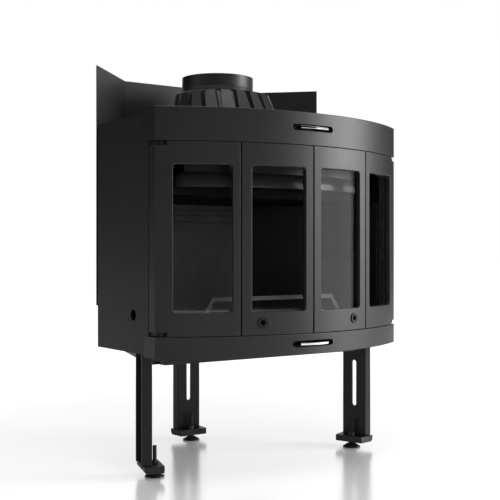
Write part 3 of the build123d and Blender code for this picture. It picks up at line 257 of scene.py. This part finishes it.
# %% Painted casing
dress(stove_paint(
    "casing_paint", dark=(0.009, 0.0094, 0.0098, 1.0), light=(0.012, 0.0124, 0.0128, 1.0),
    roughness=0.46, grain=0.00004, specular=0.24,
), [
    "side_panel_left", "side_panel_right", "rear_casing", "top_cover", "floor_plate",
    "base_pan", "pan_walls", "hinge_brackets", "door_posts", "upper_air_channel",
    "lower_air_channel", "upper_air_shutter", "lower_air_shutter", "shield_spacers",
    "leg_left", "leg_right", "leg_rear",
])
# Painted shade: nearly black paint on the plates seen through the door gaps and on the channel
# seen through the air holes, so both read dark.
dress(stove_paint(
    "gap_and_hole_shade_paint", dark=grey(0.0025), light=grey(0.005),
    roughness=0.6, grain=0.00004, specular=0.15,
), ["head_plate", "sill_plate", "secondary_air_channel"])

# %% Painted front
FRONT_DARK = (0.010, 0.0104, 0.0108, 1.0)
FRONT_LIGHT = (0.013, 0.0134, 0.0138, 1.0)

dress(stove_paint(
    "front_paint", FRONT_DARK, FRONT_LIGHT, roughness=0.40, grain=0.00003,
), ["top_trim", "bottom_trim"])
dress(stove_paint(
    "door_paint", FRONT_DARK, FRONT_LIGHT, roughness=0.40, grain=0.00004,
), on_doors("door_frame") + on_doors("glass_retainer"))

# %% Painted hood and log guard
# Painted light: the hood and the guard are lighter copies of the stove paint, for the light that
# reaches them in the dark chamber.
dress(stove_paint(
    "lit_hood_paint", dark=grey(0.018), light=grey(0.024), roughness=0.34, grain=0.00004,
), ["air_wash_hood"])
dress(stove_paint(
    "lit_guard_paint", dark=grey(0.07), light=grey(0.09), roughness=0.42, grain=0.00004,
), ["log_guard"])


# %% [markdown]
# ## Painted sheet of the heat shields
#
# The two bent sheets behind the body are painted like the rest but thinner, so they keep a
# trace of the rolling direction: long, faint streaks along the sheet. A Wave texture would
# draw even stripes. A noise that is squeezed sixty times upwards gives uneven streaks, as the
# rollers do, and the same streaks vary the colour and the sheen.

# %% Shield sheet
STREAK_SQUEEZE = (1.0, 1.0, 60.0)

shield = Finish("shield_sheet_paint")
squeezed = shield.node("ShaderNodeMapping", None, {
    "Vector": shield.place(), "Scale": STREAK_SQUEEZE,
})
streaks = shield.node("ShaderNodeTexNoise", None, {
    "Vector": squeezed, "Scale": 6.0, "Detail": 3.0,
})
dress(shield.finished(shield.node("ShaderNodeBsdfPrincipled", None, {
    "Base Color": shield.blend(streaks, (0.010, 0.0104, 0.011, 1.0), (0.0145, 0.015, 0.0155, 1.0)),
    "Roughness": streaks * 0.10 + 0.38,
    "Specular IOR Level": 0.3,
    "Normal": shield.bump(shield.noise(scale=1500.0), 0.00003),
})), ["heat_deflector", "rear_heat_shield"])


# %% [markdown]
# ## Cast iron
#
# The crown, the fire chamber's plates and the feet are castings. Sand leaves a skin of small
# pits and soft lumps under the paint. Modelled, that skin would take millions of faces, so a
# Voronoi texture and two noises draw it as bump height. The plates in the fire chamber are
# drier and a little browner than the crown. The rear plate is painted palest, as painted light
# for the light from the windows that falls on it, and the baffle above the fire is nearly black,
# so the finish takes its colours and its roughness as arguments.

# %% Cast iron
def cast_iron(name, dark, light, roughness, pit_depth, specular=0.3):
    """Patchy between dark and light; pit_depth is in metres."""
    iron = Finish(name)
    patch_noise = iron.noise(scale=14.0, detail=4.0, roughness=0.6)
    patches = iron.ramp(patch_noise, [(0.35, 0.0), (0.7, 1.0)])
    pits = iron.node("ShaderNodeTexVoronoi", None, {"Vector": iron.place(), "Scale": 520.0})
    lumps = iron.noise(scale=210.0, detail=3.0, roughness=0.6)
    skin = pits * 0.5 + lumps + iron.noise(scale=1300.0) * 0.4
    return iron.finished(iron.node("ShaderNodeBsdfPrincipled", None, {
        "Base Color": iron.blend(patches * 0.8 + pits * 0.2, dark, light),
        "Roughness": patches * 0.10 + roughness,
        "Specular IOR Level": specular,
        "Normal": iron.bump(skin, pit_depth),
    }))


# %% Crown and feet
dress(cast_iron(
    "crown_casting", dark=(0.011, 0.0115, 0.012, 1.0), light=(0.015, 0.0155, 0.016, 1.0),
    roughness=0.36, pit_depth=0.00012,
), ["heat_crown", "flue_collar"])
dress(cast_iron(
    "foot_casting", dark=(0.011, 0.0115, 0.012, 1.0), light=(0.016, 0.0165, 0.017, 1.0),
    roughness=0.42, pit_depth=0.00012,
), ["foot_brackets"])

# %% Fire chamber
# Painted light: the rear plate is paler than the side plates, for the light from the windows that
# falls on it.
dress(cast_iron(
    "lit_rear_plate_casting", dark=(0.085, 0.084, 0.082, 1.0), light=(0.115, 0.114, 0.110, 1.0),
    roughness=0.6, pit_depth=0.00002,
), ["rear_burn_plate"])
dress(cast_iron(
    "side_plate_casting", dark=(0.018, 0.0175, 0.0165, 1.0), light=(0.028, 0.027, 0.025, 1.0),
    roughness=0.6, pit_depth=0.00002,
), ["hearth_plate", "burn_plate_left", "burn_plate_right", "corner_burn_plates"])
dress(cast_iron(
    "baffle_casting", dark=grey(0.003), light=grey(0.006),
    roughness=0.7, pit_depth=0.00006, specular=0.1,
), ["smoke_baffle"])


# %% [markdown]
# ## Door glass
#
# The panes are clear heat-resistant glass, curved like the doors. A Glass shader would bend
# the light at each face and needs many bounces. A pane this thin shows only two things: what
# lies behind it, and a reflection that grows towards grazing angles. A Mix Shader between a
# see-through shader and a mirror says just that. Its factor is Schlick's rule, which needs
# only the Facing value of a Layer Weight node and is the same on both sides of the pane. Each
# pane has two faces, so the two reflections add up by themselves.

# %% Glass
HEAD_ON_REFLECTION = 0.04

glass = Finish("door_glass")
grazing = glass.node("ShaderNodeLayerWeight", None, {"Blend": 0.5}, output="Facing")
reflectance = grazing ** 5.0 * (1.0 - HEAD_ON_REFLECTION) + HEAD_ON_REFLECTION
see_through = glass.node("ShaderNodeBsdfTransparent", None, {"Color": (0.93, 0.94, 0.935, 1.0)})
mirror = glass.node("ShaderNodeBsdfAnisotropic", None, {"Color": grey(1.0), "Roughness": 0.03})
dress(glass.finished(glass.node("ShaderNodeMixShader", None, {
    0: reflectance, 1: see_through, 2: mirror,
})), on_doors("glass_pane"))


# %% [markdown]
# ## Bright and bare metal
#
# The two air levers are plated, with the faintest brushing. The photograph shows them light
# grey rather than white, so the plating's colour is a mid grey that mirrors the white room.
# Pins, spindles and bolts are steel turned on a lathe, bare or blackened. Rings round each
# axis could draw the tool's marks, but pieces a few millimetres across show only a broken
# sheen, which one fine noise gives to all of them.

# %% Plated levers
chrome = Finish("lever_chrome")
brushing = chrome.noise(scale=240.0)
dress(chrome.finished(chrome.node("ShaderNodeBsdfPrincipled", None, {
    "Base Color": chrome.blend(brushing, (0.54, 0.54, 0.55, 1.0), (0.62, 0.62, 0.63, 1.0)),
    "Metallic": 1.0,
    "Roughness": brushing * 0.06 + 0.07,
})), ["upper_air_lever", "lower_air_lever"])


# %% Turned steel
def turned_steel(name, dark, light, roughness, metallic, specular=0.5):
    """Neutral steel, whose grey goes from dark to light with the tool's marks."""
    steel = Finish(name)
    marks = steel.noise(scale=600.0)
    return steel.finished(steel.node("ShaderNodeBsdfPrincipled", None, {
        "Base Color": steel.blend(marks, grey(dark), grey(light)),
        "Metallic": metallic,
        "Roughness": marks * 0.12 + roughness,
        "Specular IOR Level": specular,
        "Normal": steel.bump(marks, 0.00004),
    }))


bolt_steel = turned_steel("blackened_steel", 0.012, 0.02, roughness=0.34, metallic=0.2)
pin_steel = turned_steel("pin_steel", 0.10, 0.18, roughness=0.28, metallic=1.0)
# This nearly black steel colours the lock spindles and also the dark rings of painted shade round
# the locks.
lock_steel_and_shade_ring = turned_steel(
    "lock_steel_and_shade_ring", 0.0012, 0.0025, roughness=0.55, metallic=0.0, specular=0.05)
dress(bolt_steel, ["leg_bolts"])
dress(lock_steel_and_shade_ring, ["lock_spindle_left", "lock_spindle_right"])
dress(pin_steel, [
    "hinge_pins", "fold_pins_left", "fold_pins_right", "guide_pins_left", "guide_pins_right",
])


# %% [markdown]
# ## Threads on the levelling feet
#
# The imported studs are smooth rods. A thread could be swept as a groove in the mesh, at the
# price of many thin faces for a relief of a millimetre. It is a helix, which a height can
# draw: the angle round the stud and the height along it, counted in turns, add up to a phase,
# and its distance from the nearest whole number is a V-shaped groove. Each stud has its own
# axis, so each foot gets its own finish. Below the top of the hub the groove is masked away.

# %% Threaded feet
THREAD_PITCH = 0.0015
THREAD_DEPTH = 0.0012
HUB_TOP = 0.0125


def threaded_steel(name, axis_x, axis_y):
    """Blackened steel with a thread round the upright line through axis_x, axis_y."""
    steel = Finish(name)
    x, y, z = steel.node(
        "ShaderNodeSeparateXYZ", None, {"Vector": steel.place()}, output=(0, 1, 2))
    angle = steel.node("ShaderNodeMath", {"operation": "ARCTAN2"}, {0: y - axis_y, 1: x - axis_x})
    phase = z * (1.0 / THREAD_PITCH) + angle * (0.5 / pi)
    groove = steel.node("ShaderNodeMath", {"operation": "PINGPONG"}, {0: phase, 1: 0.5})
    on_stud = steel.node("ShaderNodeMath", {"operation": "GREATER_THAN"}, {0: z, 1: HUB_TOP})
    marks = steel.noise(scale=600.0)
    return steel.finished(steel.node("ShaderNodeBsdfPrincipled", None, {
        "Base Color": steel.blend(marks, grey(0.012), grey(0.022)),
        "Metallic": 0.2,
        "Roughness": marks * 0.12 + 0.30,
        "Normal": steel.bump(groove * on_stud + marks * 0.06, THREAD_DEPTH),
    }))


def stud_axis(side):
    """Where the upright axis of a levelling foot stands, as x and y."""
    low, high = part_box(f"levelling_foot_{side}")
    return [(low[i] + high[i]) / 2 for i in (0, 1)]


for side in FEET:
    dress(threaded_steel(f"threaded_steel_{side}", *stud_axis(side)), [f"levelling_foot_{side}"])
print("nodes still bare:", sorted(set(nodes) - dressed))


# %% [markdown]
# ## Small fasteners
#
# The screws that clamp the glass, the lock nuts on the studs and the dark rings that paint the
# shade round the edge of each lock's boss are too small for the imported model and are made
# here. They could be cut from cylinders with Booleans. Here every one is a stack of rings round
# an axis, which is closed by construction, and a ring is either round or hexagonal. A hexagon is
# a circle whose radius changes with the angle: half the width across the flats, divided by the
# cosine of the angle from the middle of the nearest flat. All rings have 24 points, so a round
# head can carry a hexagonal socket without a seam that doesn't match.

# %% Rings
RING_POINTS = 24


def ring_point(kind, size, turn):
    """size is a radius, or for a hexagon half the width across its flats."""
    if kind == "hex":
        size = size / cos(turn % (pi / 3) - pi / 6)
    return Vector((size * cos(turn), size * sin(turn), 0.0))


def add_rings(form, matrix, profile, closed):
    """profile: (kind, size, height) of each ring; closed joins the last ring to the first."""
    turns = [2 * pi * index / RING_POINTS for index in range(RING_POINTS)]
    rings = []
    for kind, size, height in profile:
        lift = Vector((0.0, 0.0, height))
        points = [matrix @ (ring_point(kind, size, turn) + lift) for turn in turns]
        rings.append([form.verts.new(point) for point in points])
    pairs = list(zip(rings, rings[1:]))
    if closed:
        pairs.append((rings[-1], rings[0]))
    for first, second in pairs:
        for index in range(RING_POINTS):
            following = (index + 1) % RING_POINTS
            form.faces.new((first[index], first[following], second[following], second[index]))
    if not closed:
        form.faces.new(rings[-1])
        form.faces.new(reversed(rings[0]))


# %% Profiles of a screw and a nut
def screw_profile(radius, height, socket):
    edge = height * 0.28
    return [
        ("round", radius, 0.0), ("round", radius, height - edge), ("round", radius - edge, height),
        ("hex", socket, height), ("hex", socket * 0.94, height * 0.35),
    ]


def nut_profile(flat_width, height, bore):
    half = flat_width / 2
    return [
        ("round", bore, 0.0), ("round", half * 0.97, 0.0), ("hex", half, height * 0.1),
        ("hex", half, height * 0.9), ("round", half * 0.97, height), ("round", bore, height),
    ]


# %% Placing fasteners on a body
def placed(place, direction):
    """Moves a profile to a place and turns its axis into a direction."""
    turn = Vector(direction).to_track_quat("Z", "Y").to_matrix().to_4x4()
    return Matrix.Translation(Vector(place)) @ turn


def fasteners(name, body, material, profile, spots, closed=False):
    """One object with a copy of the profile at each (place, direction), which rides on a body."""
    form = bmesh.new()
    for place, direction in spots:
        add_rings(form, placed(place, direction), profile, closed)
    bmesh.ops.recalc_face_normals(form, faces=form.faces)
    mesh = bpy.data.meshes.new(name)
    form.to_mesh(mesh)
    form.free()
    made = bpy.data.objects.new(name, mesh)
    bpy.context.scene.collection.objects.link(made)
    made.data.materials.append(material)
    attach(made, body)
    print(name, "on", body, len(spots))


# %% [markdown]
# ## Where the fasteners sit
#
# The closed leaves lie on one arc, so a spot on them is given by how far it is from the middle
# of the front, measured along the arc, and by its height. Each leaf has two upright rows of
# four clamp screws on its back, beside its window, and each inner leaf has a lock below its
# window. A dark ring of painted shade lies round the edge of the lock's boss, sunk by a
# twentieth of a millimetre so that no light shows under it. All could be placed one by one, but
# this way both pairs of doors mirror each other. The pieces ride on the leaves, and fold with
# them.

# %% Clamp screws
FRONT_Y = -0.30525
FRONT_RADIUS = 0.6668
FRONT_CENTRE_Y = FRONT_Y + FRONT_RADIUS
LEAF_THICKNESS = 0.0225
WINDOW_LOW, WINDOW_HIGH = 0.41025, 0.75875
SCREW_ROWS = (0.1, 0.37, 0.63, 0.9)
INNER_ARCS = (0.0145, 0.1810)
OUTER_ARCS = (0.2100, 0.3719)
LEAVES = ((1, -1, OUTER_ARCS), (2, -1, INNER_ARCS), (3, 1, INNER_ARCS), (4, 1, OUTER_ARCS))


def on_leaf(arc, height, radius, outward):
    """A spot on a closed leaf, and the direction out of it: outward is 1, or -1 for inward."""
    turn = arc / FRONT_RADIUS
    place = (radius * sin(turn), FRONT_CENTRE_Y - radius * cos(turn), height)
    return place, (outward * sin(turn), -outward * cos(turn), 0.0)


screw_steel = turned_steel("screw_steel", 0.03, 0.05, roughness=0.32, metallic=0.6)
clamp_screw = screw_profile(radius=0.0042, height=0.0014, socket=0.0017)
leaf_back = FRONT_RADIUS - LEAF_THICKNESS
for leaf, side, arcs in LEAVES:
    heights = [WINDOW_LOW + (WINDOW_HIGH - WINDOW_LOW) * row for row in SCREW_ROWS]
    spots = [on_leaf(side * arc, height, leaf_back, -1) for arc in arcs for height in heights]
    fasteners(f"clamp_screws_{leaf}", f"door_{leaf}", screw_steel, clamp_screw, spots)

# %% Dark rings of painted shade round the locks
LOCK_ARC = 0.1445
LOCK_HEIGHT = 0.384
BOSS_STAND = 0.0022
SHADE_RING_OUTER, SHADE_RING_INNER = 0.0124, 0.0111
SHADE_RING_HEIGHT = 0.0004
SHADE_RING_SINK = 0.00005

# Painted shade: a thin dark ring on the edge of each boss stands for the shade round it.
shade_ring = [
    ("round", SHADE_RING_OUTER, 0.0), ("round", SHADE_RING_OUTER, SHADE_RING_HEIGHT),
    ("round", SHADE_RING_INNER, SHADE_RING_HEIGHT), ("round", SHADE_RING_INNER, 0.0),
]
boss_face = FRONT_RADIUS + (BOSS_STAND - SHADE_RING_SINK)
for leaf, side in ((2, -1), (3, 1)):
    spot = on_leaf(side * LOCK_ARC, LOCK_HEIGHT, boss_face, 1)
    fasteners(f"lock_shade_ring_{leaf}", f"door_{leaf}", lock_steel_and_shade_ring, shade_ring, [spot], closed=True)

# %% Lock nuts on the studs
lock_nut = nut_profile(flat_width=0.017, height=0.008, bore=0.0051)
bracket_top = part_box("foot_brackets")[1][2]
for side in FEET:
    spot = ((*stud_axis(side), bracket_top), (0.0, 0.0, 1.0))
    fasteners(f"lock_nut_{side}", "stove", screw_steel, lock_nut, [spot], closed=True)


# %% [markdown]
# ## The floor
#
# The photograph has a white floor that runs into a white background, faint shadows, and a
# blurred mirror image of the legs. A curved backdrop would do it with one big sweep and a lot
# of light. Here the floor is flat, and its light is split. Near the stove the floor glows only
# a little for the camera, and the light that falls on it brings the rest to white, so a shadow
# shows as grey. Further out the glow takes over, and meets the white world without a horizon.
# The floor's gloss grows towards the grazing view and mirrors the legs. It fades out before
# the far floor, which would otherwise mirror the black cloth.

# %% Plates that belong to the studio
def stage_object(name, corners, faces):
    """A mesh that belongs to the studio and not to the stove."""
    mesh = bpy.data.meshes.new(name)
    form = bmesh.new()
    points = [form.verts.new(corner) for corner in corners]
    for face in faces:
        form.faces.new([points[index] for index in face])
    form.to_mesh(mesh)
    form.free()
    staged = bpy.data.objects.new(name, mesh)
    bpy.context.scene.collection.objects.link(staged)
    return staged


# %% Floor plate, half a millimetre below the feet
FLOOR_HALF = 40.0
FLOOR_HEIGHT = -0.0005

floor_corners = [(x * FLOOR_HALF, y * FLOOR_HALF, FLOOR_HEIGHT)
                 for x, y in ((-1, -1), (1, -1), (1, 1), (-1, 1))]
floor = stage_object("studio_floor", floor_corners, [(0, 1, 2, 3)])
print("floor:", 2 * FLOOR_HALF, "m wide, at", FLOOR_HEIGHT)


# %% Light that the floor gives and takes
def looked_at(web):
    """1 where the camera, a mirror or glass looks at a surface, and 0 for all other light."""
    rays = ("Is Camera Ray", "Is Glossy Ray", "Is Transmission Ray")
    camera_ray, mirror_ray, glass_ray = web.node("ShaderNodeLightPath", output=rays)
    return web.node("ShaderNodeClamp", None, {0: camera_ray + mirror_ray + glass_ray})


def fade(value, start, end, first, last):
    """Goes smoothly from first to last while the value goes from start to end."""
    return value.web.node("ShaderNodeMapRange", {"interpolation_type": "SMOOTHSTEP"}, {
        "Value": value, "From Min": start, "From Max": end, "To Min": first, "To Max": last,
    })


white_floor = Finish("studio_floor")
distance = white_floor.node(
    "ShaderNodeVectorMath", {"operation": "LENGTH"}, {0: white_floor.place()}, output="Value")
matte = white_floor.node("ShaderNodeBsdfDiffuse", None, {"Color": grey(0.8)})
brightness = fade(distance, start=0.8, end=2.2, first=0.27, last=0.80)
glow = white_floor.node("ShaderNodeEmission", None, {
    "Color": white_floor.blend(brightness, grey(0.0), grey(1.0)), "Strength": 1.0,
})
no_glow = white_floor.node("ShaderNodeEmission", None, {"Color": grey(0.0), "Strength": 0.0})
shown_glow = white_floor.node("ShaderNodeMixShader", None, {
    0: looked_at(white_floor), 1: no_glow, 2: glow,
})
lit_floor = white_floor.node("ShaderNodeAddShader", None, {0: matte, 1: shown_glow})

# %% Gloss of the floor
LEAST_MIRROR, MOST_MIRROR = 0.02, 0.62
MIRROR_GAIN = 0.95
MIRROR_RISE = 2.1

gloss = white_floor.node("ShaderNodeBsdfAnisotropic", None, {"Color": grey(1.0), "Roughness": 0.2})
grazing = white_floor.node("ShaderNodeLayerWeight", None, {"Blend": 0.5}, output="Facing")
mirrored = white_floor.node("ShaderNodeMath", {"operation": "MINIMUM"}, {
    0: grazing ** MIRROR_RISE * MIRROR_GAIN + LEAST_MIRROR, 1: MOST_MIRROR,
}) * fade(distance, start=1.0, end=4.2, first=1.0, last=0.0)
floor.data.materials.append(white_floor.finished(white_floor.node("ShaderNodeMixShader", None, {
    0: mirrored, 1: lit_floor, 2: gloss,
})))
print(floor.data.materials[0].name, "has", len(white_floor.tree.nodes), "nodes")


# %% [markdown]
# ## World and black cloth
#
# To the camera, and to everything that mirrors, the world is plain white, so glass and chrome
# show the room the picture shows. Anthracite paint would turn grey in a room that is white all
# round. The paint could be made darker, but then it would look wrong in any other room, so the
# photographer hangs black cloth. Only mirroring rays see it: it takes no light away and throws
# no shadow. Three gaps stay open. One to the right of the front puts the even sheen on the
# third pane, a narrow one on the left puts a thin light on the collar, and one behind on the
# right draws the right edges of the round pieces.

# %% World
WORLD_LIGHT = 0.30

world = bpy.data.worlds.new("studio_world")
bpy.context.scene.world = world
room = Web(world, "ShaderNodeOutputWorld")
soft_light = room.node("ShaderNodeBackground", None, {"Color": grey(1.0), "Strength": WORLD_LIGHT})
white_room = room.node("ShaderNodeBackground", None, {"Color": grey(1.0), "Strength": 1.0})
room.surface(room.node("ShaderNodeMixShader", None, {
    0: looked_at(room), 1: soft_light, 2: white_room,
}))
print("world: shown at 1.0, lights at", WORLD_LIGHT)

# %% Black cloth
CLOTH_RADIUS = 7.0
CLOTH_HEIGHT = 9.0
CLOTH_ENDS = ((-185.0, -120.0), (-95.0, 37.0), (77.0, 117.0))
DEGREES_PER_FOLD = 4.0

cloth = Finish("black_cloth")
cloth_black = cloth.finished(cloth.node("ShaderNodeBsdfDiffuse", None, {"Color": grey(0.002)}))


def cloth_strip(name, start, end):
    """Upright cloth on a circle round the stove; 0 degrees is the front and 90 the right."""
    folds = round((end - start) / DEGREES_PER_FOLD)
    turns = [radians(start + (end - start) * fold / folds) for fold in range(folds + 1)]
    corners = [(CLOTH_RADIUS * sin(turn), -CLOTH_RADIUS * cos(turn), height)
               for turn in turns for height in (0.0, CLOTH_HEIGHT)]
    faces = [(2 * fold, 2 * fold + 2, 2 * fold + 3, 2 * fold + 1) for fold in range(folds)]
    strip = stage_object(name, corners, faces)
    strip.data.materials.append(cloth_black)
    strip.visible_camera = False
    strip.visible_diffuse = False
    strip.visible_transmission = False
    strip.visible_shadow = False
    print(name, "from", start, "to", end, "degrees in", folds, "folds")


for number, (start, end) in enumerate(CLOTH_ENDS):
    cloth_strip(f"black_cloth_{number}", start, end)


# %% [markdown]
# ## Lamps
#
# A soft lamp stands in the gap to the right of the front and draws the long gradient on the
# curved doors and trims. A small or bare lamp would draw a hard streak there. The panes and the
# levers are left out of it by light linking, or its bright image would hide what is behind the
# glass and burn out the plating. So are the legs, which a flag under the lamp would shade. A
# weaker lamp overhead lifts the collar, and a fill from the front, which nothing mirrors,
# reaches the plates in the fire chamber.

# %% Soft lamps
def soft_lamp(name, place, target, width, height, power):
    """A flat lamp that faces its target; sizes in metres and power in watts."""
    data = bpy.data.lights.new(name, "AREA")
    data.shape = "RECTANGLE"
    data.size = width
    data.size_y = height
    data.energy = power
    lamp = bpy.data.objects.new(name, data)
    lamp.location = place
    lamp.rotation_euler = (Vector(target) - Vector(place)).to_track_quat("-Z", "Y").to_euler()
    bpy.context.scene.collection.objects.link(lamp)
    print(name, power, "W")
    return lamp


right_lamp = soft_lamp(
    "right_softbox", place=(3.2, -2.3, 1.5), target=(0.0, 0.0, 0.6),
    width=1.9, height=2.2, power=165.0)
soft_lamp(
    "top_softbox", place=(-0.5, -0.6, 3.6), target=(0.0, 0.0, 0.3),
    width=2.2, height=2.2, power=60.0)
fill_lamp = soft_lamp(
    "front_fill", place=(-0.9, -4.2, 1.3), target=(0.0, 0.0, 0.55),
    width=2.4, height=2.0, power=66.0)
fill_lamp.visible_glossy = False

# %% Pieces that the right lamp leaves out
left_out = bpy.data.collections.new("shielded_from_right_softbox")
right_lamp.light_linking.receiver_collection = left_out
for name in on_doors("glass_pane") + [
    "leg_left", "leg_right", "leg_rear", "foot_brackets", "upper_air_lever", "lower_air_lever",
]:
    left_out.objects.link(nodes[name])
for linked in left_out.collection_objects:
    linked.light_linking.link_state = "EXCLUDE"


# %% [markdown]
# ## The colour view
#
# The standard view shows colours as they are written.

# %% Colour view
bpy.context.scene.view_settings.view_transform = "Standard"
